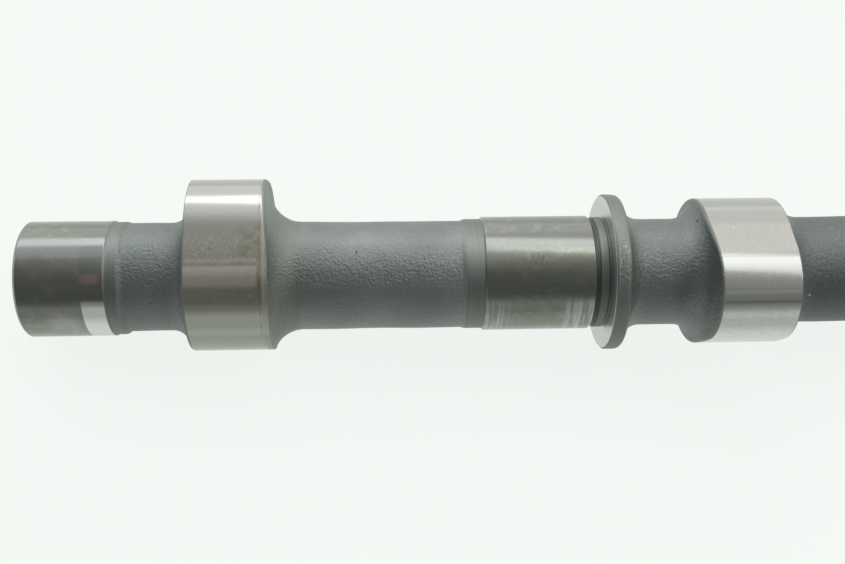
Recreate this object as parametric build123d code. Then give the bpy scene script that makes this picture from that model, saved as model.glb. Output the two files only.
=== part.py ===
from build123d import *

import math
import os

# One-piece camshaft of an in-line engine with four cylinders, one lobe to each.
# It is cast in chilled iron, turned, and ground on its journals and lobes.
#
# Millimetres and degrees. The shaft's axis is X, and the origin is on it at the
# face of the plain end. +X runs towards the drive end and +Z is up, with the
# shaft turned as it comes to rest on a flat surface.

# ---- Cast core, which joins the journals and the lobes
CORE_DIAMETER = 23.5

# ---- Bearing journals
JOURNAL_DIAMETER = 25.0
JOURNAL_CHAMFER = 0.3
END_JOURNAL_LENGTH = 18.5
INNER_JOURNAL_LENGTH = 23.5
END_FACE_CHAMFER = 0.6

# ---- Turned bands, which the tool leaves beside each journal
END_BAND_DIAMETER = 24.5
END_BAND_WIDTH = 2.8
INNER_BAND_DIAMETER = 24.1
INNER_BAND_WIDTH = 3.7
BAND_RUN_OUT = 1.4

# ---- Lobes: an outline of arcs, ground on a cast disc with flared sides
BASE_CIRCLE_DIAMETER = 32.2
LIFT = 5.35
NOSE_RADIUS = 12.1
FLANK_RADIUS = 95.0
LOBE_BACK = 9.8
LOBE_FRONT = 8.15
BACK_DRAFT = 12.0
BACK_FLARE_RADIUS = 4.5
FRONT_FLARE_RADIUS = 6.75
DISC_ALLOWANCE = 1.2

# ---- Thrust collar beside the second journal
COLLAR_DIAMETER = 34.4
COLLAR_WIDTH = 3.45
COLLAR_CHAMFER = 0.5
COLLAR_FLARE_RADIUS = 4.9
UNDERCUT_DIAMETER = 23.6
UNDERCUT_WIDTH = 1.05
COLLAR_SEAT_DIAMETER = 24.4
COLLAR_SEAT_WIDTH = 2.1

# ---- Places along the shaft
CYLINDER_PITCH = 110.0
CYLINDER_COUNT = 4
FIRST_LOBE_PLACE = 44.05
LOBE_TO_NEXT_JOURNAL = 65.75
LAST_LOBE_TO_END_JOURNAL = 34.8

# ---- Turn of the lobes about the shaft, from +Y towards +Z
FIRST_NOSE_ANGLE = 48.7
FIRING_TURNS = (0.0, 90.0, -90.0, 180.0)

# ---- Drive end: a register for the sprocket, with its screw and dowel
REGISTER_DIAMETER = 22.0
REGISTER_LENGTH = 14.0
REGISTER_CHAMFER = 1.0
SCREW_HOLE_DIAMETER = 8.5
SCREW_HOLE_DEPTH = 28.0
DOWEL_HOLE_DIAMETER = 3.0
DOWEL_HOLE_DEPTH = 7.0
DOWEL_PLACE = 7.6

# ---- Lathe centres in both end faces
CENTRE_ANGLE = 60.0
CENTRE_MOUTH_DIAMETER = 7.0
CENTRE_PILOT_DIAMETER = 2.5
CENTRE_PILOT_LENGTH = 3.5
SCREW_HOLE_MOUTH_DIAMETER = 11.0

core_radius = CORE_DIAMETER / 2
journal_radius = JOURNAL_DIAMETER / 2
base_radius = BASE_CIRCLE_DIAMETER / 2
disc_radius = base_radius + LIFT + DISC_ALLOWANCE


# A corner of the turned profile is its place along the shaft, its radius and
# the radius that rounds it. Each feature below returns its corners from left
# to right, and the straight runs between features are the cast core.


def sharp(*corners):
    """Corners that stay sharp."""
    return [(place, radius, 0.0) for place, radius in corners]


def ground_cylinder(start, length, diameter, left_chamfer, right_chamfer):
    """A cylinder with a chamfer at each end, from start along the shaft."""
    radius = diameter / 2
    return sharp(
        (start, radius - left_chamfer),
        (start + left_chamfer, radius),
        (start + length - right_chamfer, radius),
        (start + length, radius - right_chamfer),
    )


def band_before(edge, diameter, width):
    """The turned band that ends at a journal's left edge."""
    radius = diameter / 2
    run_in = (edge - width - BAND_RUN_OUT, core_radius)
    return sharp(run_in, (edge - width, radius), (edge, radius))


def band_after(edge, diameter, width):
    """The turned band that starts at a journal's right edge."""
    radius = diameter / 2
    run_out = (edge + width + BAND_RUN_OUT, core_radius)
    return sharp((edge, radius), (edge + width, radius), run_out)


def plain_end():
    """The first journal, which ends the shaft, and the band beside it."""
    journal = ground_cylinder(
        0.0, END_JOURNAL_LENGTH, JOURNAL_DIAMETER, END_FACE_CHAMFER, JOURNAL_CHAMFER
    )
    return journal + band_after(END_JOURNAL_LENGTH, END_BAND_DIAMETER, END_BAND_WIDTH)


def inner_journal(centre, with_collar):
    """A journal between two cylinders, with the thrust collar or a plain band."""
    left = centre - INNER_JOURNAL_LENGTH / 2
    right = centre + INNER_JOURNAL_LENGTH / 2
    corners = band_before(left, INNER_BAND_DIAMETER, INNER_BAND_WIDTH)
    corners += ground_cylinder(
        left, INNER_JOURNAL_LENGTH, JOURNAL_DIAMETER, JOURNAL_CHAMFER, JOURNAL_CHAMFER
    )
    if with_collar:
        return corners + thrust_collar(right)
    return corners + band_after(right, INNER_BAND_DIAMETER, INNER_BAND_WIDTH)


def thrust_collar(edge):
    """The undercut, seat and collar at a journal's right edge."""
    groove_end = edge + UNDERCUT_WIDTH
    face = groove_end + COLLAR_SEAT_WIDTH
    back = face + COLLAR_WIDTH
    rim = COLLAR_DIAMETER / 2
    corners = sharp(
        (edge, UNDERCUT_DIAMETER / 2),
        (groove_end, UNDERCUT_DIAMETER / 2),
        (groove_end, COLLAR_SEAT_DIAMETER / 2),
        (face, COLLAR_SEAT_DIAMETER / 2),
        (face, rim - COLLAR_CHAMFER),
        (face + COLLAR_CHAMFER, rim),
        (back - COLLAR_CHAMFER, rim),
        (back, rim - COLLAR_CHAMFER),
    )
    return corners + [(back, core_radius, COLLAR_FLARE_RADIUS)]


def lobe_disc(centre):
    """The cast disc that a lobe is ground from, with a flare on each side."""
    foot = centre - LOBE_BACK
    lean = (disc_radius - core_radius) * math.tan(math.radians(BACK_DRAFT))
    wall = centre + LOBE_FRONT
    return [
        (foot, core_radius, BACK_FLARE_RADIUS),
        (foot + lean, disc_radius, 0.0),
        (wall, disc_radius, 0.0),
        (wall, core_radius, FRONT_FLARE_RADIUS),
    ]


def drive_end(centre):
    """The last journal, its band, and the register for the sprocket."""
    left = centre - END_JOURNAL_LENGTH / 2
    right = centre + END_JOURNAL_LENGTH / 2
    corners = band_before(left, END_BAND_DIAMETER, END_BAND_WIDTH)
    corners += ground_cylinder(
        left, END_JOURNAL_LENGTH, JOURNAL_DIAMETER, JOURNAL_CHAMFER, JOURNAL_CHAMFER
    )
    return corners + ground_cylinder(
        right, REGISTER_LENGTH, REGISTER_DIAMETER, 0.0, REGISTER_CHAMFER
    )[1:]


def flare(before, corner, after, radius):
    """The curve that rounds a corner between two runs of the profile.

    It is a cubic with the handles that follow an arc of that radius: each is
    4/3 of the tangent of a quarter of the turn, times the radius.
    """
    corner = Vector(*corner)
    to_before = (Vector(*before) - corner).normalized()
    to_after = (Vector(*after) - corner).normalized()
    turn = math.pi - math.radians(to_before.get_angle(to_after))
    reach = radius * math.tan(turn / 2)
    handle = reach - 4 / 3 * math.tan(turn / 4) * radius
    return Bezier(
        corner + to_before * reach,
        corner + to_before * handle,
        corner + to_after * handle,
        corner + to_after * reach,
    )


def profile_face(corners):
    """The profile between the axis and the corners, as a face to turn about X."""
    points = [corner[:2] for corner in corners]
    points = [(points[0][0], 0.0)] + points + [(points[-1][0], 0.0)]
    radii = [0.0] + [corner[2] for corner in corners] + [0.0]
    edges = []
    reached = Vector(*points[0])
    for index in range(1, len(points) - 1):
        if radii[index] > 0:
            curve = flare(*points[index - 1 : index + 2], radii[index])
            edges += [Line(reached, curve @ 0), curve]
            reached = curve @ 1
        else:
            edges.append(Line(reached, points[index]))
            reached = Vector(*points[index])
    edges += [Line(reached, points[-1]), Line(points[-1], points[0])]
    return make_face(edges)


def turned_blank(lobe_places, journal_places, end_place):
    """The shaft before its lobes are ground: one profile turned about X."""
    corners = plain_end()
    for index, lobe_place in enumerate(lobe_places):
        corners += lobe_disc(lobe_place)
        if index < len(journal_places):
            corners += inner_journal(journal_places[index], with_collar=index == 0)
    corners += drive_end(end_place)
    return revolve(profile_face(corners), axis=Axis.X)


def lobe_outline():
    """The lobe's outline, with its nose towards +X of the sketch.

    The flank arcs touch the base circle and the nose circle, so the distances
    from a flank's centre to theirs are the flank radius less each radius.
    """
    nose_place = base_radius + LIFT - NOSE_RADIUS
    to_base = FLANK_RADIUS - base_radius
    to_nose = FLANK_RADIUS - NOSE_RADIUS
    flank_x = (to_base**2 - to_nose**2 + nose_place**2) / (2 * nose_place)
    flank_y = math.sqrt(to_base**2 - flank_x**2)
    base_angle = math.degrees(math.atan2(flank_y, -flank_x))
    nose_angle = math.degrees(math.atan2(flank_y, nose_place - flank_x))
    turn = base_angle - nose_angle
    edges = [
        CenterArc((0, 0), base_radius, base_angle, 360 - 2 * base_angle),
        CenterArc((flank_x, flank_y), FLANK_RADIUS, -base_angle, turn),
        CenterArc((nose_place, 0), NOSE_RADIUS, -nose_angle, 2 * nose_angle),
        CenterArc((flank_x, -flank_y), FLANK_RADIUS, nose_angle, turn),
    ]
    return make_face(edges)


def lobe_waste(centre, nose_angle):
    """What is cut away round a lobe: a ring whose inside is the lobe's outline."""
    start = centre - LOBE_BACK
    length = LOBE_BACK + LOBE_FRONT + FRONT_FLARE_RADIUS
    ring = Circle(disc_radius + DISC_ALLOWANCE) - lobe_outline()
    section = Plane.YZ.offset(start) * Rot(0, 0, nose_angle) * ring
    return extrude(section, length)


def countersunk_hole(mouth, diameter, depth):
    """A blind hole along X with a lathe centre's cone at its mouth."""
    reach = (mouth - diameter) / 2 / math.tan(math.radians(CENTRE_ANGLE / 2))
    section = Polyline(
        (0, 0), (0, mouth / 2), (reach, diameter / 2), (depth, diameter / 2), (depth, 0),
        close=True,
    )
    return revolve(make_face(section), axis=Axis.X)


def camshaft():
    """The finished shaft."""
    lobe_places = [FIRST_LOBE_PLACE + i * CYLINDER_PITCH for i in range(CYLINDER_COUNT)]
    journal_places = [place + LOBE_TO_NEXT_JOURNAL for place in lobe_places[:-1]]
    end_place = lobe_places[-1] + LAST_LOBE_TO_END_JOURNAL
    shaft = turned_blank(lobe_places, journal_places, end_place)
    for place, turn in zip(lobe_places, FIRING_TURNS):
        shaft -= lobe_waste(place, FIRST_NOSE_ANGLE + turn)

    mouth_depth = (CENTRE_MOUTH_DIAMETER - CENTRE_PILOT_DIAMETER) / 2
    mouth_depth /= math.tan(math.radians(CENTRE_ANGLE / 2))
    shaft -= countersunk_hole(
        CENTRE_MOUTH_DIAMETER, CENTRE_PILOT_DIAMETER, mouth_depth + CENTRE_PILOT_LENGTH
    )
    drive_face = end_place + END_JOURNAL_LENGTH / 2 + REGISTER_LENGTH
    screw_hole = countersunk_hole(
        SCREW_HOLE_MOUTH_DIAMETER, SCREW_HOLE_DIAMETER, SCREW_HOLE_DEPTH
    )
    shaft -= Pos(drive_face, 0, 0) * Rot(0, 0, 180) * screw_hole
    dowel_mouth = Plane.YZ.offset(drive_face) * Pos(0, DOWEL_PLACE)
    return shaft - extrude(dowel_mouth * Circle(DOWEL_HOLE_DIAMETER / 2), -DOWEL_HOLE_DEPTH)


os.makedirs("parts", exist_ok=True)
export_step(camshaft(), "parts/camshaft.step")
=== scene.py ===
# %% [markdown]
# # A one-piece camshaft
#
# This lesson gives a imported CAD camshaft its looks. The real part is one
# casting of chilled iron. A lathe turns the ends of the cast core, and
# grinding wheels finish the five journals, the thrust collar and the four
# lobes. Nothing on it moves on its own, so the whole shaft is one surface
# that rides on one body.

# %% Load the frame
import math

import bpy
import numpy as np
from mathutils import Matrix, Vector
from mathutils.geometry import tessellate_polygon


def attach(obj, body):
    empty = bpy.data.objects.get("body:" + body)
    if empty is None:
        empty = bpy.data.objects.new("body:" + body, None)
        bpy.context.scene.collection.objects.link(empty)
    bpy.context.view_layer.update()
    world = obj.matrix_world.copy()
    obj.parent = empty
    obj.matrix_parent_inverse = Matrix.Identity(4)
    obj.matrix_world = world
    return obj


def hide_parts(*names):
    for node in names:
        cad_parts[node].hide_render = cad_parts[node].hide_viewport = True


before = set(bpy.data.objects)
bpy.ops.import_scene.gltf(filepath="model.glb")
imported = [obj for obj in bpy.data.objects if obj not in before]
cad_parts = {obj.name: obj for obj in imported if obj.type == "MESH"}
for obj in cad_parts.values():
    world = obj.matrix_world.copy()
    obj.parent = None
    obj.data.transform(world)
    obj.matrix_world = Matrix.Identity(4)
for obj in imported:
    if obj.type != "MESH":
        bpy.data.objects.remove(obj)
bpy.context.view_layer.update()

# %% [markdown]
# ## Sizes
#
# The visible surface keeps every size of the CAD part, so the values are the
# same: millimetres along the shaft's axis X from the face of the plain end,
# and radii from the axis. Only what a drawing leaves out is new here: broken
# edges, tool marks, the waviness of the casting, and how far grinding cleans
# up the cast corners. The work is done in millimetres and scaled once, when
# the mesh is filled.

# %% Sizes of the shaft, in millimetres
MILLIMETRE = 0.001
CORE = 11.75
JOURNAL = 12.5
END_BAND = 12.25
INNER_BAND = 12.05

CYLINDER_PITCH = 110.0
LOBE_PLACES = (44.05, 154.05, 264.05, 374.05)
NOSE_ANGLES = (48.7, 138.7, -41.3, 228.7)
BASE_CIRCLE = 16.1
LIFT = 5.35
NOSE = 12.1
FLANK = 95.0
POLISH = 0.02

INNER_JOURNALS = ((98.05, 121.55), (208.05, 231.55), (318.05, 341.55))
END_JOURNAL = (399.6, 418.1)
SHAFT_END = 432.1
REGISTER = 11.0
TAPPED, TAPPED_DEPTH, SCREW_MOUTH = 4.25, 28.0, 5.5

SIDES = 160
angle = np.linspace(0.0, 2 * math.pi, SIDES, endpoint=False)
print("one step round the shaft turns", 360 / SIDES, "degrees")

# %% [markdown]
# ## A casting is never quite round
#
# Sand gives the unmachined core a slow waviness and lets its centre drift by
# a tenth or two of a millimetre. It could be sculpted or come from a noise
# modifier. A few sine waves that close on themselves round the shaft are
# enough, never leave a seam, and come out the same on every run.

# %% Waviness of the casting


def waves(x, turn, seed, count, length, lobes):
    """A sum of sines of place along the shaft and turn round it, about -1 to 1.

    Each wave is sin(2 pi x / its length + a whole number times the turn +
    its phase), so it repeats exactly after one turn.
    """
    draw = np.random.default_rng(seed)
    total = np.zeros(np.broadcast(x, turn).shape)
    for _ in range(count):
        along = 2 * math.pi / (length * draw.uniform(0.6, 1.6))
        around = draw.integers(0, lobes + 1)
        total += np.sin(along * x + around * turn + draw.uniform(0, 2 * math.pi))
    return total / math.sqrt(count)


DRIFT_PLACES = (0.0, 27.0, 60.0, 92.0, 137.0, 180.0, 240.0, 300.0, 360.0, 432.0)
DRIFT = (0.1, 0.2, 0.0, -0.08, -0.13, 0.0, 0.12, -0.08, 0.1, 0.0)
DRIFT_ANGLE = math.radians(30.4)
FADE_HEIGHT = 2.5


def cast_core(x, turn):
    """Radius of the cast core: its mean, plus the drift of its centre towards
    one side, plus the slow waves of the mould and the finer ones of its sand."""
    drift = np.interp(x, DRIFT_PLACES, DRIFT) * np.cos(turn - DRIFT_ANGLE)
    slow = 0.045 * waves(x, turn, 11, 9, 24.0, 3)
    sand = 0.008 * waves(x, turn, 12, 26, 3.2, 48)
    return CORE + drift + slow + sand


def unevenness(x, radius):
    """How far the casting is off its mean; it fades as a wall climbs the core."""
    fade = np.clip(1 - (radius - CORE) / FADE_HEIGHT, 0, 1)
    return (cast_core(x, angle) - CORE) * fade


print("core radius over one turn", cast_core(75.0, angle).min().round(3), "to",
      cast_core(75.0, angle).max().round(3))

# %% [markdown]
# ## The lobe's outline
#
# A flat-faced or sliding follower rides on four arcs that run smoothly into
# each other: the base circle, two long flanks and the nose. On the real part
# the grinder copies them from a master. Here the outline is a radius for each
# angle from the nose, found where a ray from the axis meets each arc.

# %% Radius of a lobe at each angle
nose_place = BASE_CIRCLE + LIFT - NOSE
to_base, to_nose = FLANK - BASE_CIRCLE, FLANK - NOSE
flank_x = (to_base**2 - to_nose**2 + nose_place**2) / (2 * nose_place)
flank_y = math.sqrt(to_base**2 - flank_x**2)
flank_ends = math.atan2(flank_y, -flank_x)
touch = math.atan2(flank_y, nose_place - flank_x)
nose_ends = math.atan2(NOSE * math.sin(touch), nose_place + NOSE * math.cos(touch))


def lobe_radius(turn, nose_angle):
    """Distance from the axis to the lobe along each ray.

    For a circle whose centre is at distance c along the ray and s beside it,
    that is c plus the root of the circle's radius squared less s squared.
    """
    away = np.abs((turn - math.radians(nose_angle) + math.pi) % (2 * math.pi) - math.pi)
    on_nose = nose_place * np.cos(away) + np.sqrt(
        np.maximum(NOSE**2 - (nose_place * np.sin(away)) ** 2, 0.0)
    )
    along = flank_x * np.cos(away) - flank_y * np.sin(away)
    on_flank = along + np.sqrt(FLANK**2 - (to_base**2 - along**2))
    outer = np.where(away < flank_ends, on_flank, BASE_CIRCLE)
    return np.where(away < nose_ends, on_nose, outer)


print("lobe radius", lobe_radius(angle, 0.0).min().round(3), "to",
      lobe_radius(angle, 0.0).max().round(3))

# %% [markdown]
# ## Rows of the surface
#
# The shaft is a surface of two parameters: the row, counted along the shaft,
# and the turn round it. Every row holds a place and a radius for each turn.
# A round feature has the same values all the way round, while a lobe's rows
# swell with its outline. Each row also says how its metal was finished, as
# four weights that a material can read later: cast, turned, ground journal
# and ground lobe. A Skin or Curve object could make the round parts, but not
# the cast corners that follow a lobe, so one grid of rows does it all.

# %% Rows, corners and finishes
CAST, TURNED, GROUND, LOBE = range(4)
rows_x, rows_radius, rows_finish = [], [], []


def add_row(x, radius, finish):
    """One row: a place and a radius for each turn, and a finish or weights."""
    weights = np.zeros((SIDES, 4))
    if np.ndim(finish) == 0:
        weights[:, finish] = 1.0
    else:
        weights[:] = finish
    rows_x.append(np.broadcast_to(x, (SIDES,)).astype(float))
    rows_radius.append(np.broadcast_to(radius, (SIDES,)).astype(float))
    rows_finish.append(weights)


def rounded(corners, steps=3):
    """Points of a profile whose corners are rounded, each by its own radius.

    A corner of radius r starts and ends at r times the tangent of half its
    turn from the corner, and the arc between is sampled at equal angles.
    """
    points = [np.array(corners[0][:2], float)]
    for before, corner, after in zip(corners, corners[1:], corners[2:]):
        middle = np.array(corner[:2], float)
        back = np.array(before[:2], float) - middle
        on = np.array(after[:2], float) - middle
        back, on = back / np.linalg.norm(back), on / np.linalg.norm(on)
        radius = corner[2] if len(corner) > 2 else 0.0
        if radius <= 0:
            points.append(middle)
            continue
        half = math.acos(np.clip(back @ on, -1, 1)) / 2
        centre = middle + (back + on) / np.linalg.norm(back + on) * radius / math.sin(half)
        first = middle + back * radius / math.tan(half) - centre
        last = middle + on * radius / math.tan(half) - centre
        opening = math.pi - 2 * half
        for step in np.linspace(0, 1, steps + 1):
            mix = math.sin((1 - step) * opening) * first + math.sin(step * opening) * last
            points.append(centre + mix / math.sin(opening))
    points.append(np.array(corners[-1][:2], float))
    return np.array(points)


def add_profile(corners, finish, steps=3):
    """Adds the rows of a round profile and returns the place where it ends."""
    for x, radius in rounded(corners, steps):
        add_row(x, radius, finish)
    return corners[-1][0]


EDGE = 0.12
print("finishes: cast, turned, ground journal, ground lobe; edges broken by", EDGE, "mm")

# %% [markdown]
# ## The plain end
#
# The shaft starts with the conical centre that carried it in the lathe and
# the grinder, then its end face and the first journal. A drilled centre and
# a faced end are simple profiles. The journal is ground right up to the
# chamfer of the end face.

# %% Centre hole, end face and first journal
add_profile([(7.75, 0.02), (7.4, 1.25, 0.05), (3.9, 1.25, 0.05), (0.0, 3.5, 0.12), (0.0, 5.0)],
            TURNED)
add_profile([(0.0, 8.0), (0.0, 11.6)], TURNED)
add_profile([(0.03, 11.93), (0.6, JOURNAL, 0.2), (1.6, JOURNAL)], GROUND)
add_profile([(6.0, JOURNAL), (12.0, JOURNAL), (17.4, JOURNAL), (18.1, JOURNAL), (18.3, JOURNAL),
             (18.46, JOURNAL)], GROUND, steps=2)
add_profile([(18.5, 12.47), (18.72, 12.27)], TURNED)
print("rows so far", len(rows_x))

# %% [markdown]
# ## Turned bands beside the journals
#
# The casting is a little fatter beside each journal, and the lathe tool cuts
# that pad down to a clean band. Where the pad slopes down to the core the
# tool cuts nothing any more, and because the casting is uneven that border
# wanders. The surface copies the work: it is the smaller of the tool's
# radius and the casting's radius, and the metal counts as turned only where
# the tool was the smaller.

# %% Band rows
SOFT = 0.05
PAD_HEIGHT, PAD_SLOPE = 1.4, 2.6


def band_rows(edge, far, tool_radius, seed, pad_end, step=0.33):
    """Rows from a journal's edge to the core, as the smaller of two radii.

    The cast radius is the core plus a pad that falls as half a cosine wave
    from its full height to nothing round the place where the pad ends, which
    wanders by sines of the turn.
    """
    towards = math.copysign(1.0, far - edge)
    places = np.arange(edge, far + towards * 1e-6, towards * step)
    if towards < 0:
        places = places[::-1]
    wander = 0.15 * waves(0.0, angle, seed, 7, 1.0, 9)
    middle = edge + towards * pad_end
    for x in places:
        reach = towards * (x - middle) + wander
        down = np.clip((reach + PAD_SLOPE / 2) / PAD_SLOPE, 0, 1)
        cast = cast_core(x, angle) + PAD_HEIGHT * (0.5 + 0.5 * np.cos(down * math.pi))
        cut = np.clip((cast - tool_radius) / 0.16, 0, 1)
        weights = np.zeros((SIDES, 4))
        weights[:, CAST], weights[:, TURNED] = 1 - cut, cut
        smaller = -SOFT * np.logaddexp(-cast / SOFT, -tool_radius / SOFT)
        add_row(x, np.minimum(smaller, tool_radius), weights)
    return float(places[-1])


END_PAD, INNER_PAD = 2.1, 3.5
reached = band_rows(18.8, 24.6, END_BAND, 21, END_PAD)
print("the first band ends at", round(reached, 2), "mm, rows", len(rows_x))

# %% [markdown]
# ## Cast core and lobes
#
# Between the machined parts the core runs on as it was cast. Each lobe grows
# from it as a cast disc with a leaning wall at the back and a wide flare
# at the front, and then the grinder cuts the cam surface into it. The corner
# between the cast side and the ground land is softer on some lobes, since
# the wheel removes less there. The sides are rows too: each climbs from the
# core to the ground radius of its own turn, so both edges follow the outline.

# %% Core rows and lobe rows


def core_rows(start, stop, step=1.45):
    """Rows of bare cast core between two places, evenly spaced."""
    for x in np.linspace(start, stop, max(2, round((stop - start) / step) + 1)):
        add_row(x, cast_core(x, angle), CAST)


FLARE = 6.75
FLARE_END = 14.95
FLARE_TOP = CORE + FLARE
BACK, BACK_DRAFT, BACK_FLARE = 9.8, math.radians(12.0), 4.5
BACK_SWEEP = math.pi / 2 - BACK_DRAFT
BACK_START = -BACK - BACK_FLARE * math.tan(BACK_SWEEP / 2)
LAND_START = -8.45
EDGE_SOFTNESS = 0.22
WALL_STEPS = 15
HALF_GROUND = (0.5, 0, 0, 0.5)


def back_wall(fraction, top, limit):
    """Place and radius on the back side at a fraction of its length.

    From the core it is an arc that turns by a quarter less the draft, and
    above that arc a wall that leans by the draft until it comes near the
    limit, where the ground land begins. The nearer of both is taken softly:
    minus the logarithm of the sum of their exponentials.
    """
    rise = BACK_FLARE * (1 - math.cos(BACK_SWEEP))
    wall = np.maximum(top - CORE - rise, 0.0) / math.cos(BACK_DRAFT)
    length = fraction * (BACK_FLARE * BACK_SWEEP + wall)
    turned = np.minimum(length / BACK_FLARE, BACK_SWEEP)
    straight = np.maximum(length - BACK_FLARE * BACK_SWEEP, 0.0)
    x = BACK_START + BACK_FLARE * np.sin(turned) + straight * math.sin(BACK_DRAFT)
    radius = CORE + BACK_FLARE * (1 - np.cos(turned)) + straight * math.cos(BACK_DRAFT)
    return -SOFT * np.logaddexp(-x / SOFT, -limit / SOFT), radius


def front_wall(fraction, top):
    """Place and radius on the front side at a fraction of its length.

    From the core it is a quarter circle, and above that circle a plane wall.
    The fraction is of the length of both together, up to the radius `top`.
    """
    sweep = np.arccos(np.clip((FLARE_TOP - top) / FLARE, -1, 1))
    sweep = np.where(top < FLARE_TOP, sweep, math.pi / 2)
    wall = np.maximum(top - FLARE_TOP, 0.0)
    length = fraction * (FLARE * sweep + wall)
    turned = np.minimum(length / FLARE, math.pi / 2)
    x = FLARE_END - FLARE * np.sin(turned)
    radius = FLARE_TOP - FLARE * np.cos(turned) + np.maximum(length - FLARE * math.pi / 2, 0)
    return x, radius


def lobe_rows(place, nose_angle, nose_softness, back_softness=0.4):
    """The cast disc and its ground land, from the back foot to the flare's end."""
    ground = lobe_radius(angle, nose_angle) - POLISH
    share = (ground - BASE_CIRCLE) / LIFT
    wobble = 0.09 * waves(place, angle, int(place), 5, 9.0, 5)
    soft = back_softness * (1 - 0.6 * np.clip(share, 0, 1))
    land = LAND_START + 0.3 * share
    for fraction in np.linspace(0, 1, WALL_STEPS):
        x, radius = back_wall(fraction, ground - soft, land - soft)
        shifted = place + x + wobble * (1 - fraction)
        add_row(shifted, radius + unevenness(place + x, radius), CAST)
    for corner in np.radians((25, 50, 75)):
        at = place + land - soft * math.cos(corner)
        add_row(at, ground - soft * (1 - math.sin(corner)), CAST)
    edge = place + land
    add_row(edge, ground, HALF_GROUND)
    land_starts = edge + EDGE
    add_row(land_starts, ground, LOBE)

    soft = EDGE_SOFTNESS + (nose_softness - EDGE_SOFTNESS) * np.clip(share, 0, 1) ** 2
    top = ground - soft
    wall_x, _ = front_wall(1.0, top)
    land_length = place + wall_x - soft - 0.1 - land_starts
    for mix in (0.25, 0.5, 0.75, 1.0):
        add_row(land_starts + land_length * mix, ground, LOBE)
    for corner in np.radians((8, 30, 60, 90)):
        at = place + wall_x - soft + soft * math.sin(corner)
        weights = HALF_GROUND if corner < 0.2 else CAST
        add_row(at, ground - soft + soft * math.cos(corner), weights)
    for fraction in np.linspace(1, 0, WALL_STEPS)[1:]:
        x, radius = front_wall(fraction, top)
        shifted = place + x + 0.06 * waves(place + x, angle, 31, 6, 6.0, 7)
        add_row(shifted, radius + unevenness(place + x, radius), CAST)
    return place + FLARE_END


core_rows(25.2, 30.2)
reached = lobe_rows(LOBE_PLACES[0], NOSE_ANGLES[0], nose_softness=1.2, back_softness=0.3)
core_rows(reached + 1.2, 91.3)
print("first lobe done, rows", len(rows_x))

# %% [markdown]
# ## Second journal and the thrust collar
#
# The collar keeps the shaft from sliding along its bearings. Its left face
# is machined, with an undercut groove beside the journal so that the wheel
# and the tool can run out, and a narrow seat before the face. Its rim and
# right side stay as cast, with a soft flare down to the core.

# %% Journals and the collar


CHAMFER = 0.22
GROOVE_RADIUS, SEAT_RADIUS, RIM_RADIUS = 11.8, 12.2, 17.2
COLLAR_FLARE = 4.9


def journal_rows(start, stop):
    """A ground journal with a broken edge at each end."""
    add_profile([(start, INNER_BAND, 0.06), (start + 0.02, JOURNAL - CHAMFER, 0.0),
                 (start + 0.24, JOURNAL, EDGE), (start + 2.0, JOURNAL)], GROUND, steps=2)
    add_profile([(stop - 2.0, JOURNAL), (stop - 0.24, JOURNAL, EDGE), (stop, JOURNAL - CHAMFER)],
                GROUND, steps=2)


def collar_rows(edge):
    """Groove, seat, machined face, cast rim and the flare behind it."""
    groove, face, back = edge + 1.05, edge + 3.15, edge + 6.6
    add_profile([(edge, 12.25), (edge + 0.02, GROOVE_RADIUS, 0.1),
                 (groove - 0.02, GROOVE_RADIUS, 0.1), (groove, SEAT_RADIUS, 0.08),
                 (face - 0.35, SEAT_RADIUS, 0.08), (face - 0.3, 12.02, 0.05),
                 (face, 12.02, 0.1), (face, 12.6)], TURNED)
    add_profile([(face, 14.5), (face, 16.75, 0.14), (face + 0.4, 17.15)], TURNED)
    for x, below in ((0.52, 0.08), (1.2, 0.05), (2.1, 0.05), (2.7, 0.09),
                     (3.05, 0.23), (3.3, 0.5), (3.45, 0.85)):
        add_row(face + x, RIM_RADIUS - below + 0.035 * waves(x, angle, 41, 6, 5.0, 6), CAST)
    centre_x, centre_radius = back + COLLAR_FLARE, CORE + COLLAR_FLARE
    add_row(back + 0.02, 15.9, CAST)
    for turned in np.radians(np.linspace(74, 0, 11)):
        x = centre_x - COLLAR_FLARE * math.sin(turned)
        radius = centre_radius - COLLAR_FLARE * math.cos(turned)
        shifted = x + 0.08 * waves(x, angle, 42, 6, 4.0, 7)
        add_row(shifted, radius + unevenness(x, radius), CAST)
    return centre_x


band_rows(97.98, 92.6, INNER_BAND, 22, INNER_PAD)
journal_rows(*INNER_JOURNALS[0])
reached = collar_rows(INNER_JOURNALS[0][1])
core_rows(reached + 1.0, 139.8)
lobe_rows(LOBE_PLACES[1], NOSE_ANGLES[1], nose_softness=0.4, back_softness=0.7)
print("collar and second lobe done, rows", len(rows_x))

# %% [markdown]
# ## The other two cylinders
#
# Each further cylinder repeats the same pattern one pitch along the shaft:
# core, band, journal, band, core and lobe. A loop over their places keeps
# the features identical, while the casting's waves still differ, because
# they depend on the place.

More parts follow.
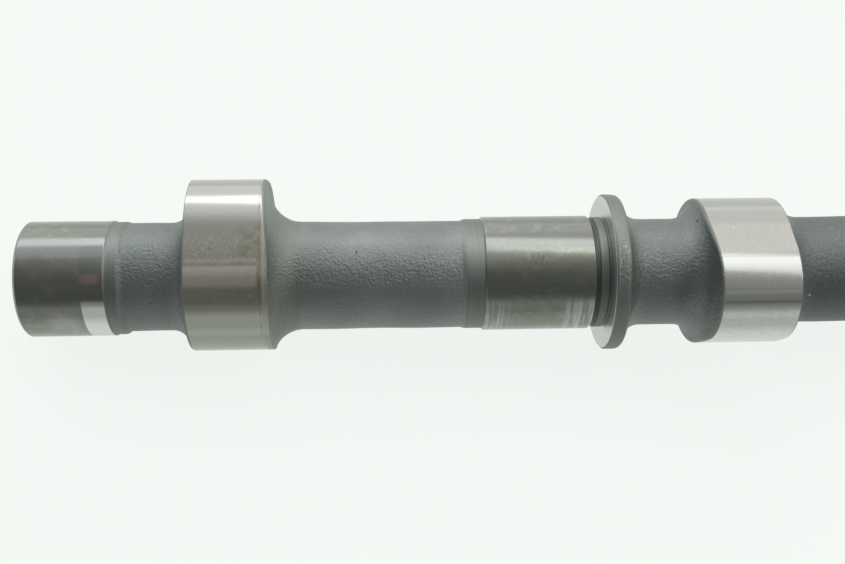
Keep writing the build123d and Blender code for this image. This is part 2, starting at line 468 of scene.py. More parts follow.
# %% Third and fourth cylinders and the last journal
for (start, stop), place, nose_angle, softness, seed in zip(
    INNER_JOURNALS[1:], LOBE_PLACES[2:], NOSE_ANGLES[2:], (0.9, 0.6), (23, 25)
):
    core_rows(place - CYLINDER_PITCH + FLARE_END + 1.2, start - 6.8, step=1.7)
    band_rows(start - 0.07, start - 5.4, INNER_BAND, seed, INNER_PAD)
    journal_rows(start, stop)
    band_rows(stop + 0.07, stop + 5.4, INNER_BAND, seed + 1, INNER_PAD)
    core_rows(stop + 6.8, place - 14.3, step=1.7)
    lobe_rows(place, nose_angle, nose_softness=softness)
core_rows(LOBE_PLACES[-1] + FLARE_END + 1.2, END_JOURNAL[0] - 6.4, step=1.6)
band_rows(END_JOURNAL[0] - 0.07, END_JOURNAL[0] - 5.0, END_BAND, 27, END_PAD)
journal_rows(*END_JOURNAL)
print("rows", len(rows_x), "up to", rows_x[-1].max().round(2), "mm")

# %% [markdown]
# ## The drive end
#
# The sprocket sits on a short register, is held by one screw on the axis and
# is timed by a dowel. The register is a round profile. The screw hole turns
# the profile round and runs back inside the shaft, with a cut thread: its
# radius grows and shrinks as a triangle wave of the turn plus the place in
# pitches, which is what a helix is. The dowel hole is off the axis, so the
# flat face between them is left open here and filled later.

# %% Register, and the screw hole with its thread
add_profile([(418.12, 12.0), (418.16, REGISTER, 0.15), (431.1, REGISTER, EDGE),
             (SHAFT_END, REGISTER - 1.0, EDGE), (SHAFT_END, 9.7)], TURNED)
face_row = len(rows_x) - 1
mouth_depth = (SCREW_MOUTH - TAPPED) / math.tan(math.radians(30))
add_profile([(SHAFT_END, SCREW_MOUTH + 0.12), (SHAFT_END, SCREW_MOUTH, 0.04),
             (SHAFT_END - mouth_depth * 0.8, TAPPED + 0.25)], TURNED)
THREAD_PITCH, THREAD_DEPTH, THREAD_LENGTH = 1.5, 0.72, 22.0
thread_start, thread_stop = SHAFT_END - mouth_depth, SHAFT_END - THREAD_LENGTH
for x in np.arange(thread_start, thread_stop, -THREAD_PITCH / 4):
    phase = ((x / THREAD_PITCH + angle / (2 * math.pi)) % 1.0 - 0.5) * 2
    ease = min(1.0, (thread_start - x) / 1.2, (x - thread_stop) / 1.2)
    add_row(x, TAPPED + THREAD_DEPTH * max(ease, 0.0) * (1 - np.abs(phase)), TURNED)
hole_end = SHAFT_END - TAPPED_DEPTH - 2.4
add_profile([(thread_stop - 0.3, TAPPED), (SHAFT_END - TAPPED_DEPTH, TAPPED, 0.1),
             (hole_end, 0.02)], TURNED)
shaft_x, shaft_radius = np.array(rows_x), np.array(rows_radius)
finish = np.array(rows_finish)
print("rows", len(shaft_x), "triangles about", 2 * SIDES * len(shaft_x))

# %% [markdown]
# ## Filling the mesh
#
# The grid becomes a mesh with whole-array work: vertices from the two
# parameters, four-cornered faces between neighbouring rows, and one closing
# point at each end of the profile. The face of the drive end is cut as a
# flat polygon with two holes in it, and a short tube with a flat bottom is
# the dowel hole. The polygon is cut at a large scale, because the cutter's
# tolerance is coarse for a part measured in metres. Weighted normals keep
# the flat and cylindrical faces true beside their small rounded edges.

# %% One closed surface
row_count = len(shaft_x)
grid = np.stack([shaft_x, shaft_radius * np.cos(angle), shaft_radius * np.sin(angle)], axis=-1)
grid_points = grid.reshape(-1, 3)
ends = np.array([[7.76, 0.0, 0.0], [hole_end - 0.01, 0.0, 0.0]])

DOWEL_SIDES, DOWEL_PLACE, DOWEL, DOWEL_DEPTH = 40, 7.6, 1.5, 7.0
dowel_angle = np.linspace(0, 2 * math.pi, DOWEL_SIDES, endpoint=False)
dowel_profile = rounded([(SHAFT_END, DOWEL + 0.18), (SHAFT_END, DOWEL + 0.12, 0.02),
                         (SHAFT_END - 0.14, DOWEL, 0.04), (SHAFT_END - DOWEL_DEPTH, DOWEL, 0.05),
                         (SHAFT_END - DOWEL_DEPTH, 0.02)])
dowel_points = np.stack([
    np.repeat(dowel_profile[:, 0], DOWEL_SIDES),
    (dowel_profile[:, 1:] * np.cos(dowel_angle)).ravel(),
    DOWEL_PLACE + (dowel_profile[:, 1:] * np.sin(dowel_angle)).ravel(),
], axis=-1)
dowel_end = np.array([[SHAFT_END - DOWEL_DEPTH, 0.0, DOWEL_PLACE]])
points = np.concatenate([grid_points, ends, dowel_points, dowel_end]) * MILLIMETRE


def put(name, data):
    """A new object in the scene."""
    made = bpy.data.objects.new(name, data)
    bpy.context.collection.objects.link(made)
    return made


def ring_quads(first, sides, bands):
    """Faces between rows that follow each other, each row `sides` points long."""
    band, side = np.meshgrid(bands, np.arange(sides), indexing="ij")
    here, beside = first + band * sides + side, first + band * sides + (side + 1) % sides
    return np.stack([here, beside, beside + sides, here + sides], axis=-1).reshape(-1, 4)


def fan(centre, ring, sides, towards):
    """Triangles that close a ring on its centre."""
    side = np.arange(sides)
    here, beside = ring + side, ring + (side + 1) % sides
    corners = [here, beside] if towards else [beside, here]
    return np.stack([np.full(sides, centre), *corners], axis=-1)


bands = np.array([band for band in range(row_count - 1) if band != face_row])
quads = [ring_quads(0, SIDES, bands)]
first_end = row_count * SIDES
dowel_first = first_end + 2
quads.append(ring_quads(dowel_first, DOWEL_SIDES, np.arange(len(dowel_profile) - 1)))
triangles = [
    fan(first_end, 0, SIDES, False),
    fan(first_end + 1, (row_count - 1) * SIDES, SIDES, True),
    fan(len(points) - 1, dowel_first + (len(dowel_profile) - 1) * DOWEL_SIDES, DOWEL_SIDES, True),
]
loops = [face_row * SIDES + np.arange(SIDES), (face_row + 1) * SIDES + np.arange(SIDES),
         dowel_first + np.arange(DOWEL_SIDES)]
LARGE = 1e5
flat = [[Vector((*(points[i, 1:] * LARGE), 0.0)) for i in loop] for loop in loops]
names = np.concatenate(loops)
cap = names[np.array(tessellate_polygon(flat))]
sides_of_cap = points[cap]
facing = np.cross(sides_of_cap[:, 1] - sides_of_cap[:, 0], sides_of_cap[:, 2] - sides_of_cap[:, 0])
cap[facing[:, 0] < 0] = cap[facing[:, 0] < 0][:, ::-1]
triangles.append(cap)
faces = [row.tolist() for block in quads + triangles for row in block]

mesh = bpy.data.meshes.new("camshaft_surface")
mesh.from_pydata(points.tolist(), [], faces)
mesh.validate()
mesh.update()
camshaft = put("camshaft_surface", mesh)
mesh.polygons.foreach_set("use_smooth", np.ones(len(mesh.polygons), bool))
even = camshaft.modifiers.new("true faces", "WEIGHTED_NORMAL")
even.keep_sharp = False
even.weight = 60

corner = np.empty(len(mesh.loops), int)
mesh.loops.foreach_get("vertex_index", corner)
mesh.calc_loop_triangles()
tris = np.empty(len(mesh.loop_triangles) * 3, int)
mesh.loop_triangles.foreach_get("vertices", tris)
a, b, c = (points[tris.reshape(-1, 3)[:, i]] for i in range(3))
volume = np.einsum("ij,ij->i", a, np.cross(b, c)).sum() / 6
print("triangles", len(tris) // 3, "volume", round(volume * 1e9), "mm3")

# %% [markdown]
# ## Finish weights
#
# The four weights of each row become numbers on every vertex. Three of
# them, turned, journal and lobe, are stored as attributes for a material to
# read, and cast is what they leave, so one material can put the right metal
# on each zone and let a border wander where the lathe tool lost contact.

# %% Attributes
tail = np.zeros((len(points) - row_count * SIDES, 4))
tail[:, TURNED] = 1.0
weights = np.concatenate([finish.reshape(-1, 4), tail])
for column, name in ((TURNED, "turned"), (GROUND, "journal"), (LOBE, "lobe")):
    layer = mesh.attributes.new(name, "FLOAT", "POINT")
    layer.data.foreach_set("value", weights[:, column].astype(np.float32))
    print(name, "on", int((weights[:, column] > 0.5).sum()), "vertices")

# %% [markdown]
# ## Shader arithmetic
#
# A material is easier to read as sums than as a web of nodes. One small
# class holds a socket, and Python's operators on it add Math nodes. Every
# other node comes from its `node` method.

# %% A socket that can be added and multiplied


class Wire:
    """An output socket of a node tree, on which Python arithmetic works."""

    def __init__(self, tree, socket=None):
        self.tree, self.socket = tree, socket

    def node(self, kind, settings=None, inputs=None, out=0):
        """Adds a node: its settings first, then the values or links it takes."""
        made = self.tree.nodes.new(kind)
        for name, value in (settings or {}).items():
            if name == "stops":
                ramp = made.color_ramp.elements
                while len(ramp) < len(value):
                    ramp.new(0.5)
                for stop, (position, colour) in zip(ramp, value):
                    stop.position, stop.color = position, (*colour, 1.0)
            else:
                setattr(made, name, value)
        for name, value in (inputs or {}).items():
            if isinstance(value, Wire):
                self.tree.links.new(value.socket, made.inputs[name])
            else:
                made.inputs[name].default_value = value
        return Wire(self.tree, made.outputs[out] if made.outputs else None)

    def other(self, out):
        """Another output of the node that this socket belongs to."""
        return Wire(self.tree, self.socket.node.outputs[out])

    def math(self, operation, *values):
        """A Math node with this socket as its first value."""
        inputs = dict(enumerate((self, *values)))
        return self.node("ShaderNodeMath", {"operation": operation}, inputs)

    def __add__(self, other):
        return self.math("ADD", other)

    __radd__ = __add__

    def __sub__(self, other):
        return self.math("SUBTRACT", other)

    def __rsub__(self, other):
        return self.node("ShaderNodeMath", {"operation": "SUBTRACT"}, {0: other, 1: self})

    def __mul__(self, other):
        return self.math("MULTIPLY", other)

    __rmul__ = __mul__

    def step(self, low, high):
        """0 below low, 1 above high, and a smooth ramp between."""
        inputs = {"Value": self, "From Min": low, "From Max": high}
        return self.node("ShaderNodeMapRange", {"interpolation_type": "SMOOTHSTEP"}, inputs)

    def within(self, low, high, soft):
        """1 between low and high, with a ramp of that width inside each end."""
        return self.step(low, low + soft) * (1 - self.step(high - soft, high))

    def colour(self, first, second):
        """The first colour where this is 0 and the second where it is 1."""
        inputs = {0: self, 6: first, 7: second}
        return self.node("ShaderNodeMix", {"data_type": "RGBA"}, inputs, out=2)


def paint(*linear):
    """A colour with its alpha, as a socket takes it."""
    return (*linear, 1.0)


def tint(under, share, *linear):
    """The colour below with another laid over it, by a share from 0 to 1."""
    return share.colour(under, paint(*linear))


print("wires add, subtract and multiply")

# %% [markdown]
# ## The metal's patterns
#
# All patterns are read from Object coordinates in millimetres, so a Noise
# scale of 1 gives spots about a millimetre wide. Stretching a coordinate
# shortens the pattern along it: dense along X and slow across it draws the
# fine rings that turning and grinding leave round a shaft. The turn round the
# axis, in degrees, comes from an arc tangent: 0 at the back, 90 on top and 180
# at the front. It jumps back at -60 degrees, underneath, so a mask of the turn
# has to be nothing there.

# %% Coordinates and noises for the metal
metal = bpy.data.materials.new("cast_and_ground_iron")
metal.use_nodes = True
tree = metal.node_tree
tree.nodes.clear()
start = Wire(tree)
where = start.node("ShaderNodeTexCoord", out=3)
in_mm = start.node("ShaderNodeVectorMath", {"operation": "SCALE"}, {0: where, "Scale": 1000.0})
x_mm = start.node("ShaderNodeSeparateXYZ", None, {0: in_mm})
y_mm, z_mm = x_mm.other(1), x_mm.other(2)

CUT_ANGLE = math.radians(120.0)
towards_cut = y_mm * math.cos(CUT_ANGLE) + z_mm * math.sin(CUT_ANGLE)
beside_cut = z_mm * math.cos(CUT_ANGLE) - y_mm * math.sin(CUT_ANGLE)
turn = beside_cut.math("ARCTAN2", towards_cut) * (180 / math.pi) + 120.0


def noise(scale, detail=2.0, rough=0.5, stretch=(1.0, 1.0, 1.0)):
    """Soft noise from 0 to 1, its scale in spots a millimetre."""
    along = start.node("ShaderNodeVectorMath", {"operation": "MULTIPLY"}, {0: in_mm, 1: stretch})
    inputs = {"Vector": along, "Scale": scale, "Detail": detail, "Roughness": rough}
    return start.node("ShaderNodeTexNoise", None, inputs)


def zone(name):
    """A finish weight of the mesh, from 0 to 1."""
    return start.node("ShaderNodeAttribute", {"attribute_name": name}, out=2)


def spot(place, size):
    """1 within a small ball of that size round a place, in millimetres."""
    inputs = {0: in_mm, 1: place}
    away = start.node("ShaderNodeVectorMath", {"operation": "DISTANCE"}, inputs, out=1)
    return 1 - away.step(size * 0.6, size)


is_turned, is_journal, is_lobe = zone("turned"), zone("journal"), zone("lobe")
fine, coarse, clouds = noise(1.3, 4, 0.62), noise(0.45, 3), noise(0.09, 3)
rings = noise(1.0, 3, 0.6, stretch=(7.0, 0.06, 0.06))
fine_rings = noise(1.0, 2, 0.5, stretch=(26.0, 0.12, 0.12))
print("patterns:", len(tree.nodes), "nodes")

# %% [markdown]
# ## Cast skin
#
# Unmachined iron keeps the grain of the moulding sand under a thin oxide
# skin: grey, a little blue where it is in shade, dull, with small pits. A
# plain bump over noise would look like paint, so grain, pits and slow clouds
# of colour are three separate scales. The skin is darker by the first
# journal, by the neck and past the second lobe, and its oxide is a little
# olive on the first flare. A darker band along the top is painted shade.
# The collar's rim has a few scratches.

# %% Cast skin
grain = noise(1.75, 4, 0.6)
pits = noise(2.4, 2, 0.5).step(0.66, 0.74)
cast_colour = clouds.step(0.3, 0.7).colour(paint(0.238, 0.262, 0.252), paint(0.290, 0.315, 0.300))
dim_lengths = (1 - x_mm.step(34.0, 38.0)) + x_mm.within(129.0, 147.0, 4.0)
cast_colour = tint(cast_colour, dim_lengths * 0.5, 0.195, 0.222, 0.208)
# painted shade: a darker band along the top of the cast skin
painted_top_shade = turn.within(80.0, 132.0, 16.0)
cast_colour = tint(cast_colour, painted_top_shade * 0.35, 0.160, 0.180, 0.172)
past_second = x_mm.step(161.0, 167.0)
cast_colour = tint(cast_colour, past_second * 0.85, 0.150, 0.168, 0.166)
flare = x_mm.within(51.8, 60.0, 2.0)
cast_colour = tint(cast_colour, flare * 0.5, 0.215, 0.232, 0.19)
neck = x_mm.within(130.0, 146.0, 3.0)
cast_colour = tint(cast_colour, fine.step(0.54, 0.70) * (0.25 + 0.3 * neck), 0.36, 0.385, 0.36)
rim = x_mm.within(125.2, 128.3, 0.2)
scratch = noise(0.8, 1, 0.4, stretch=(1.6, 0.5, 1.0)).within(0.485, 0.51, 0.01)
scratch = scratch * rim * turn.within(98.0, 152.0, 5.0)
cast_colour = tint(cast_colour, rim * 0.7, 0.225, 0.252, 0.225)
cast_colour = tint(cast_colour, scratch * 0.6, 0.70, 0.71, 0.68)
cast_colour = tint(cast_colour, pits * 0.55, 0.05, 0.055, 0.05)
cast_rough = 0.40 + 0.14 * fine
cast_height = (0.22 - 0.12 * rim) * (grain - 0.5) + 0.07 * (fine - 0.5) - 0.06 * pits
print("cast skin: grain about 0.6 mm, pits about 0.4 mm")

# %% [markdown]
# ## Turned bands, collar face and register
#
# A lathe tool leaves a fine spiral of grooves, so the metal is bright across
# them and dull along them. The rings noise stands for the grooves, in the
# bump and in the colour. On a faced end the grooves are circles round the
# axis instead, so their noise is read by the distance from it.

# %% Turned metal
grooves = rings.step(0.35, 0.65)
turned_colour = grooves.colour(paint(0.215, 0.237, 0.222), paint(0.262, 0.282, 0.262))
on_register = x_mm.step(END_JOURNAL[1], END_JOURNAL[1] + 0.1)
plain_face, collar_face = 1 - x_mm.step(0.3, 0.6), x_mm.within(124.64, 124.78, 0.03)
machined = plain_face + collar_face + on_register
from_axis = (y_mm * y_mm + z_mm * z_mm).math("SQRT")
line = start.node("ShaderNodeCombineXYZ", None, {"X": from_axis})
face_rings = start.node("ShaderNodeTexNoise", None, {"Vector": line, "Scale": 5.0, "Detail": 2.0})
faced = (0.4 * fine + 0.6 * face_rings).step(0.35, 0.65)
faced = faced.colour(paint(0.60, 0.61, 0.59), paint(0.76, 0.77, 0.75))
faced = tint(faced, on_register, 0.46, 0.47, 0.45)
turned_colour = machined.colour(turned_colour, faced)
groove_shade = x_mm.within(121.6, 122.6, 0.15) + x_mm.within(124.15, 124.62, 0.1)
turned_colour = tint(turned_colour, groove_shade * 0.75, 0.06, 0.068, 0.062)
turned_rough = 0.42 + 0.12 * rings - 0.12 * machined
turned_height = 0.012 * (rings - 0.5) + 0.006 * (fine_rings - 0.5)
turned_height = turned_height + 0.006 * machined * (face_rings - 0.5)
print("turned metal: rings about 0.14 mm apart")

# %% [markdown]
# ## Ground journals
#
# The journals are ground and then run in, and old oil has dried on them to a
# brown and olive film, browner from 96 to 126 degrees of turn. The film is
# mottled, and has lighter patches of a few millimetres. A darker band along
# the top, where the lamps' highlight falls, is painted shade, and on the
# first journal that band carries a painted bluish highlight tint.

# %% Film on the journals
mottle = noise(1.5, 4, 0.65, stretch=(0.5, 1.0, 1.0)).step(0.35, 0.68)
film = clouds.step(0.38, 0.62).colour(paint(0.277, 0.297, 0.260), paint(0.294, 0.303, 0.266))
film = tint(film, turn.within(96.0, 126.0, 8.0) * 0.6, 0.305, 0.298, 0.258)
film = tint(film, mottle * 0.55, 0.212, 0.235, 0.192)
film = tint(film, coarse.step(0.5, 0.72) * 0.5, 0.365, 0.382, 0.345)
# painted shade: the film is darker along the top, where the lamps' highlight falls
painted_crest_shade = turn.within(75.0, 100.0, 6.0)
film = tint(film, painted_crest_shade * 0.8, 0.225, 0.230, 0.219)
# painted highlight: a bluish tint on that band of the first journal
sheen = (1 - x_mm.step(20.0, 30.0)) * painted_crest_shade
film = tint(film, sheen * 0.7, 0.262, 0.274, 0.277)
print("film: mottle, patches and a dark top")

# %% [markdown]
# ## Wear and painted reflections on the journals
#
# Near a journal's ends, where the bearing did not reach, rings of clean metal
# show through as thin flames. The first journal has a worn track beside its
# right edge, painted bright on its lower front as a reflection of the pale
# table, with a painted pink reflection above it and a paler patch low on the
# front further left. The second one has a few slanted scuffs.

# %% Rings, track and scuffs
first_track = x_mm.step(13.6, 13.9) * (1 - x_mm.step(18.4, 18.6))
run_left = x_mm.step(98.0, 98.4) * (1 - x_mm.step(101.5, 104.5))
run_right = x_mm.step(113.5, 117.0) * (1 - x_mm.step(121.2, 121.5))
flames = noise(0.7, 3, 0.6, stretch=(2.8, 0.09, 0.09)).step(0.42, 0.62)
broad = noise(0.7, 2, 0.5, stretch=(1.3, 0.09, 0.09)).step(0.40, 0.60)
bare = (run_left * flames * 0.7 + run_right * broad) * turn.within(143.0, 225.0, 14.0)
journal_colour = tint(film, bare * 0.7, 0.60, 0.605, 0.58)
# painted reflection: the track is bright only on its lower front, which faces the pale table
track_front = first_track * turn.step(142.5, 144.0) * (1 - turn.step(180.0, 235.0))
# a paler, cloudy patch low on the front of the first journal, mostly left of its track
pale_low_patch = x_mm.within(4.0, 15.0, 5.0) * turn.within(150.0, 196.0, 18.0)
pale_low_patch = pale_low_patch * clouds.step(0.3, 0.6)
journal_colour = tint(journal_colour, pale_low_patch * 0.32, 0.72, 0.73, 0.71)
journal_colour = tint(journal_colour, first_track * 0.4, 0.25, 0.262, 0.25)
# painted reflection: a pink band above the track
journal_pink_reflection = x_mm.step(13.0, 15.0) * (1 - x_mm.step(16.8, 18.6)) * turn.within(115.8, 127.2, 3.2)
journal_colour = tint(journal_colour, journal_pink_reflection * 0.75, 0.56, 0.43, 0.39)
journal_colour = tint(journal_colour, track_front * 0.9, 0.76, 0.77, 0.745)
scuff = (x_mm * 5.6 + turn * 0.42).math("SINE").step(0.0, 0.8) * fine.step(0.42, 0.56)
scuff = scuff * x_mm.within(107.0, 112.0, 1.2) * turn.within(98.0, 116.0, 5.0)
journal_colour = tint(journal_colour, scuff * 0.45, 0.13, 0.125, 0.115)
journal_rough = 0.16 + 0.05 * mottle + 0.05 * bare - 0.06 * first_track
journal_height = 0.0012 * (fine_rings - 0.5)
print("journals: bare rings, the first journal's track and scuffs")

# %% [markdown]
# ## Ground lobes
#
# A lobe is harder and brighter than a journal: grinding leaves a satin of
# very fine lines round it. The first lobe is worn. Its follower made a track
# that stops short of the edge, where a broken line of old oil stays, and
# worn marks and an olive patina lie on it. Bands along its turn are painted
# light and shade: shade over its top, a pink reflection with a light line
# above it, a dark reflection below, shade on its lower front and foot, and
# a highlight along the bead at its edge.

# %% Satin, wear and painted bands on the first lobe
satin = noise(1.0, 3, 0.6, stretch=(3.2, 0.25, 0.25))
bright = satin.step(0.3, 0.7).colour(paint(0.475, 0.475, 0.44), paint(0.512, 0.51, 0.472))
stain_spots = noise(2.3, 3, 0.6)
worn = stain_spots.step(0.3, 0.7).colour(paint(0.52, 0.51, 0.44), paint(0.71, 0.695, 0.61))
# painted shade: above and behind its top the first lobe is darker and greyer
worn = tint(worn, 0.85 * (1 - turn.step(84.0, 98.0)), 0.475, 0.48, 0.46)
on_first = 1 - x_mm.step(55.0, 60.0)
in_track = on_first * (1 - x_mm.step(50.2, 50.9))
lobe_colour = on_first.colour(bright, worn)
olive = on_first * x_mm.step(44.0, 50.0) * coarse.step(0.4, 0.62) * turn.within(82.0, 140.0, 8.0)
lobe_colour = tint(lobe_colour, olive * 0.6, 0.37, 0.36, 0.235)
worn_marks = on_first * mottle * turn.within(84.0, 150.0, 8.0)
lobe_colour = tint(lobe_colour, worn_marks * 0.3, 0.40, 0.40, 0.32)
# painted reflection: a pink band on the track
pink = in_track * turn.step(112.2, 114.0) * (1 - turn.step(124.0, 132.0))
lobe_colour = tint(lobe_colour, pink * 0.75, 1.0, 0.88, 0.80)
# painted reflection: a light line just above the pink band
painted_light_line = in_track * turn.within(107.0, 111.0, 1.2)
lobe_colour = tint(lobe_colour, painted_light_line * 0.3, 0.95, 0.95, 0.90)
# painted reflection: a dark band below the pink one
dull = on_first * turn.within(127.0, 144.0, 4.0)
lobe_colour = tint(lobe_colour, dull * 0.6, 0.44, 0.445, 0.345)
# painted shade: the first lobe's lower front is darker
front = turn.within(143.0, 230.0, 3.0)
lobe_colour = tint(lobe_colour, on_first * front * 0.85, 0.50, 0.52, 0.46)
# painted highlight along the rounded bead at the edge of the land
bead = on_first * x_mm.within(51.5, 52.3, 0.2) * turn.within(70.0, 143.0, 6.0)
lobe_colour = tint(lobe_colour, bead * 0.8, 0.66, 0.64, 0.55)
# painted shade: the lowest part of both lobes is darker
foot = turn.within(166.0, 230.0, 8.0)
lobe_colour = tint(lobe_colour, on_first * foot * 0.6, 0.28, 0.29, 0.25)
oil_line = on_first * x_mm.within(50.85, 51.25, 0.12) * coarse.step(0.38, 0.62)
lobe_colour = tint(lobe_colour, oil_line * 0.75, 0.36, 0.33, 0.22)
lobe_rough = 0.16 + 0.04 * satin + 0.2 * on_first * x_mm.step(51.3, 51.6)
lobe_height = 0.0005 * (satin - 0.5)
print("lobes: satin, and the first lobe's stains, bands and oil line")

# %% [markdown]
# ## Wear and painted bands on the second lobe
#
# The second lobe is cleaner, with rubbed patches on its front. Its pale front
# is a painted reflection of the table, thin dark lines cross it at three
# turns, and the bands that follow the nose are painted: shade on its top and
# where the lamp's highlight falls, a lighter band above the pale front and a
# bright edge along its top as reflections, and shade at its foot.
# The bands on both lobes are set against this light: polished metal
# shows its room, and this room is simpler than a real one. The other two
# lobes keep the plain satin.

# %% Bands on the second lobe
on_second = x_mm.within(140.0, 168.0, 2.0)
# painted reflection: the lower front is pale where it faces the table
pale_front = on_second * turn.within(139.0, 230.0, 1.0)
lobe_colour = tint(lobe_colour, pale_front * 0.92, 0.85, 0.86, 0.82)
# painted shade where the lamp's highlight falls
strip = turn.within(108.0, 125.0, 4.0) * 0.6 + turn.within(111.6, 113.6, 0.8) * 0.3
lobe_colour = tint(lobe_colour, on_second * strip, 0.335, 0.345, 0.33)
# painted shade on the top of the second lobe
upper = on_second * turn.within(64.0, 88.0, 8.0)
lobe_colour = tint(lobe_colour, upper * 0.6, 0.40, 0.40, 0.37)
# painted reflection: a lighter band above the pale front
nose_side = on_second * turn.within(131.0, 141.0, 3.0)
lobe_colour = tint(lobe_colour, nose_side * 0.85, 0.80, 0.825, 0.78)
# thin dark lines across the second lobe at three turns
lines = turn.within(137.6, 139.6, 0.7) + 0.5 * turn.within(130.8, 132.2, 0.5)
lines = lines + 0.5 * turn.within(166.0, 167.8, 0.7)
dark_lines_across = x_mm.within(146.0, 163.0, 0.2) * lines
lobe_colour = tint(lobe_colour, dark_lines_across * 0.38, 0.25, 0.25, 0.23)
# painted reflection: a bright edge along the top of the pale front
lip = on_second * turn.within(139.6, 150.0, 3.0)
lobe_colour = tint(lobe_colour, lip * 0.5, 1.0, 1.0, 0.96)
rubbed = on_second * mottle * turn.within(134.0, 230.0, 6.0)
lobe_colour = tint(lobe_colour, rubbed * 0.25, 0.50, 0.53, 0.50)
# painted shade: the foot of the second lobe is darker
lobe_colour = tint(lobe_colour, on_second * foot * 0.6, 0.52, 0.53, 0.50)
print("second lobe: pale front, resting lines and bands")

# %% [markdown]
# ## One metal from four finishes
#
# The weights choose between the finishes. A little noise is added to them
# first, so that the border between turned and cast metal breaks up the way
# it does on a real part.

# %% Put the metal together
ragged = 0.5 * (fine - 0.5)
cut = (is_turned + ragged * is_turned * (1 - is_turned) * 4).step(0.3, 0.7)
on_journal = is_journal.step(0.45, 0.55)
on_lobe = is_lobe.step(0.45, 0.55)
marks = spot((70.9, -1.38, 11.67), 0.32) + spot((144.2, 4.85, 12.65), 0.42)
glints = 0.7 * spot((150.1, 0.44, 16.74), 0.2) + spot((167.7, -10.05, 6.1), 0.3)
glints = glints + 0.6 * spot((49.0, -11.38, 11.38), 0.34)


def blend(cast, turned, journal, lobe):
    """A number of the surface from the number of each finish."""
    value = cut * turned + (1 - cut) * cast
    value = on_journal * journal + (1 - on_journal) * value
    return on_lobe * lobe + (1 - on_lobe) * value


colour = cut.colour(cast_colour, turned_colour)
colour = on_journal.colour(colour, journal_colour)
colour = on_lobe.colour(colour, lobe_colour)
colour = tint(colour, marks * 0.8, 0.03, 0.03, 0.03)
colour = tint(colour, glints, 0.90, 0.90, 0.87)
height = blend(cast_height, turned_height, journal_height, lobe_height)
bump = start.node("ShaderNodeBump", None,
                  {"Strength": 1.0, "Distance": MILLIMETRE, "Height": height})
surface = start.node("ShaderNodeBsdfPrincipled", None, {
    "Base Color": colour,
    "Metallic": blend(0.8, 0.8 + 0.2 * machined, 0.8 + 0.2 * track_front, 0.85),
    "Roughness": blend(cast_rough, turned_rough, journal_rough, lobe_rough),
    "Normal": bump,
})
start.node("ShaderNodeOutputMaterial", None, {"Surface": surface})
camshaft.data.materials.append(metal)
print("metal:", len(tree.nodes), "nodes")

# %% [markdown]
# ## The piece and its body
#
# The dressed surface stands for the CAD node and rides on the only body.

# %% Ride and replace
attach(camshaft, "root")
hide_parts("camshaft")
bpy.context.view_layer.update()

# %% [markdown]
# ## Floor
#
# The shaft lies on three points: the collar and the noses or flanks of two
# lobes. The collar is smaller than the lobes, so a level table is tilted by
# less than half a degree against the shaft's axis. The table is a plain pale
# sheet. Rays from the camera see it mostly as glowing paper, which keeps it
# pale, and partly as lit paper, which keeps the shadow. In the metal's
# reflections it is brightest close to the shaft and fades towards the front.

# %% The table
TOUCH = Vector((0.1265, 0.0, -0.0172))
SLOPE = -0.0078
HALF_TABLE = 3.0
table_mesh = bpy.data.meshes.new("table")
corners = [(x * HALF_TABLE, y * HALF_TABLE, TOUCH.z + SLOPE * (x * HALF_TABLE - TOUCH.x))
           for x, y in ((-1, -1), (1, -1), (1, 1), (-1, 1))]
table_mesh.from_pydata(corners, [], [(0, 1, 2, 3)])
table = put("table", table_mesh)
paper = bpy.data.materials.new("pale_paper")
paper.use_nodes = True
paper.node_tree.nodes.clear()
sheet = Wire(paper.node_tree)
rays = sheet.node("ShaderNodeLightPath")
mirrored = rays.other("Is Glossy Ray")
spread = sheet.node("ShaderNodeTexCoord", out=3)
across = sheet.node("ShaderNodeSeparateXYZ", None, {0: spread}, out=1)
uneven = sheet.node("ShaderNodeTexNoise", None, {"Vector": spread, "Scale": 22.0, "Detail": 3.0})
plain = uneven.colour(paint(0.945, 0.98, 0.945), paint(0.96, 0.995, 0.96))
fading = across.step(-0.015, -0.065)
tone = tint(plain, mirrored * fading, 0.53, 0.55, 0.53)
under = rays.colour(paint(0.34, 0.36, 0.34), paint(0.80, 0.82, 0.80))
share = rays * 0.88 + mirrored * 0.80
lit = sheet.node("ShaderNodeBsdfDiffuse", None, {"Color": under})
glow = sheet.node("ShaderNodeEmission", None, {"Color": tone, "Strength": 1.0})
both = sheet.node("ShaderNodeMixShader", None, {0: share, 1: lit, 2: glow})
sheet.node("ShaderNodeOutputMaterial", None, {"Surface": both})
table_mesh.materials.append(paper)
print("the table touches at", tuple(round(v, 4) for v in TOUCH))

# %% [markdown]
# ## Light
#
# Polished metal shows the room more than its own colour, so the light is a
# room in itself: two soft lamps above and behind the shaft, a pale wall
# behind, a less dark strip low in front, and a dim space between them, where
# the metal looks dark. A dimmer patch at the left and a brighter one at the
# right stand for what else a room holds. The lamps are plain rectangles,
# since a round one would bend the bright line on the journals.

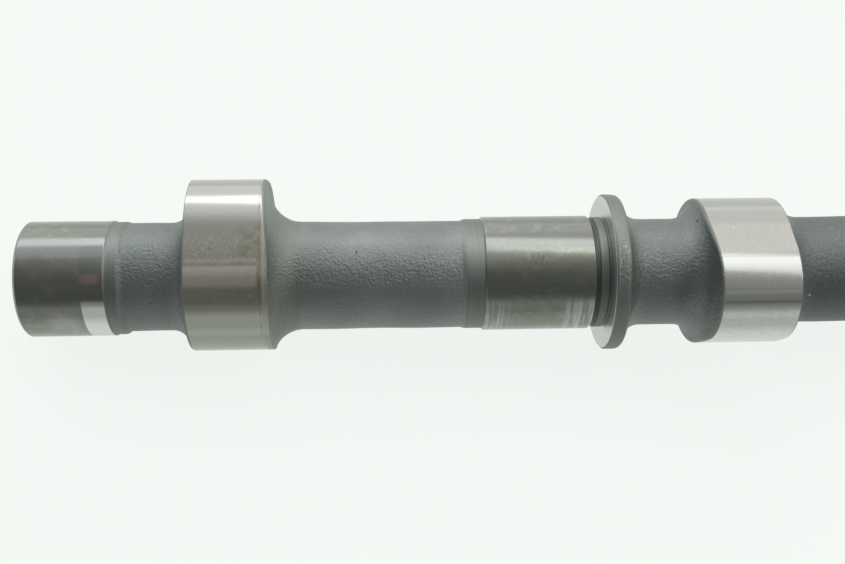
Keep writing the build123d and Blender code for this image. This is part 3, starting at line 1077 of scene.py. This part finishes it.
# %% World and lamps
LIT_PLACE = Vector((0.1, 0.0, 0.0))
world = bpy.data.worlds.new("studio")
bpy.context.scene.world = world
world.use_nodes = True
world.node_tree.nodes.clear()
room = Wire(world.node_tree)
ray = room.node("ShaderNodeLightPath")
seen = ray.other("Is Camera Ray")
direction = room.node("ShaderNodeTexCoord", out=0)
dir_x = room.node("ShaderNodeSeparateXYZ", None, {0: direction})
dir_y, dir_z = dir_x.other(1), dir_x.other(2)
lean = dir_z.math("ARCTAN2", 0 - dir_y) * (1 / math.pi)
room_tone = lean.node("ShaderNodeValToRGB", {"stops": [
    (0.00, (0.32, 0.33, 0.325)),
    (0.05, (0.17, 0.175, 0.17)),
    (0.10, (0.11, 0.115, 0.11)),
    (0.32, (0.10, 0.105, 0.10)),
    (0.42, (0.28, 0.285, 0.275)),
    (0.58, (0.78, 0.80, 0.79)),
    (0.72, (1.00, 1.00, 1.00)),
    (1.00, (1.00, 1.00, 1.00)),
]}, {0: lean})
shade_left = (1 - dir_x.step(-0.32, -0.18)) * lean.within(0.16, 0.62, 0.10)
glow_right = dir_x.step(0.18, 0.34) * lean.within(0.20, 0.56, 0.08)
room_tone = tint(room_tone, shade_left * 0.75, 0.12, 0.125, 0.12)
room_tone = tint(room_tone, glow_right * 0.8, 0.40, 0.41, 0.40)
dim = room.node("ShaderNodeBackground", None, {"Color": room_tone, "Strength": 1.15})
pale = room.node("ShaderNodeBackground", None, {"Color": paint(0.90, 0.93, 0.90), "Strength": 1.0})
mixed = room.node("ShaderNodeMixShader", None, {0: seen, 1: dim, 2: pale})
room.node("ShaderNodeOutputWorld", None, {"Surface": mixed})


def lamp(name, start_point, end_point, width, radiance, colour=(1.0, 1.0, 1.0)):
    """A rectangular lamp whose long side runs between two points, faced to the shaft."""
    start_point, end_point = Vector(start_point), Vector(end_point)
    centre = (start_point + end_point) / 2
    along = (end_point - start_point).normalized()
    facing = LIT_PLACE - centre
    facing = (facing - along * facing.dot(along)).normalized()
    light = bpy.data.lights.new(name, "AREA")
    light.shape = "RECTANGLE"
    light.size = (end_point - start_point).length
    light.size_y = width
    light.energy = radiance * math.pi * light.size * light.size_y
    light.color = colour
    body = put(name, light)
    across = facing.cross(along)
    body.matrix_world = Matrix((along, across, -facing)).transposed().to_4x4()
    body.matrix_world = Matrix.Translation(centre) @ body.matrix_world
    body.visible_camera = False
    print(name, round(light.energy, 2), "W")


lamp("long_soft_lamp", (-0.140, 0.740, 0.602), (0.607, -0.208, 0.530), 0.24, 1.7)
lamp("left_soft_lamp", (-0.640, 0.670, 0.635), (-0.150, 0.680, 0.635), 0.31, 1.25)

# %% [markdown]
# ## Camera
#
# A lens of about 44 mm on a 36 mm sensor, some 20 cm above the shaft, looks
# down on it by sixty degrees. The camera is placed by its point and by the
# direction and upright of its view.

# %% The camera
view = bpy.data.cameras.new("camera")
view.sensor_width, view.lens = 36.0, 43.87
camera = put("camera", view)
forward = Vector((0.0425, 0.50508, -0.86203)).normalized()
upright = Vector((0.0136, 0.86243, 0.50599)).normalized()
sideways = forward.cross(upright).normalized()
turned = Matrix((sideways, sideways.cross(forward), -forward)).transposed().to_4x4()
camera.matrix_world = Matrix.Translation((0.07551, -0.11649, 0.19537)) @ turned
bpy.context.scene.camera = camera
bpy.context.scene.view_settings.view_transform = "Standard"
print("camera looks down by", round(math.degrees(math.asin(-forward.z)), 1), "degrees")
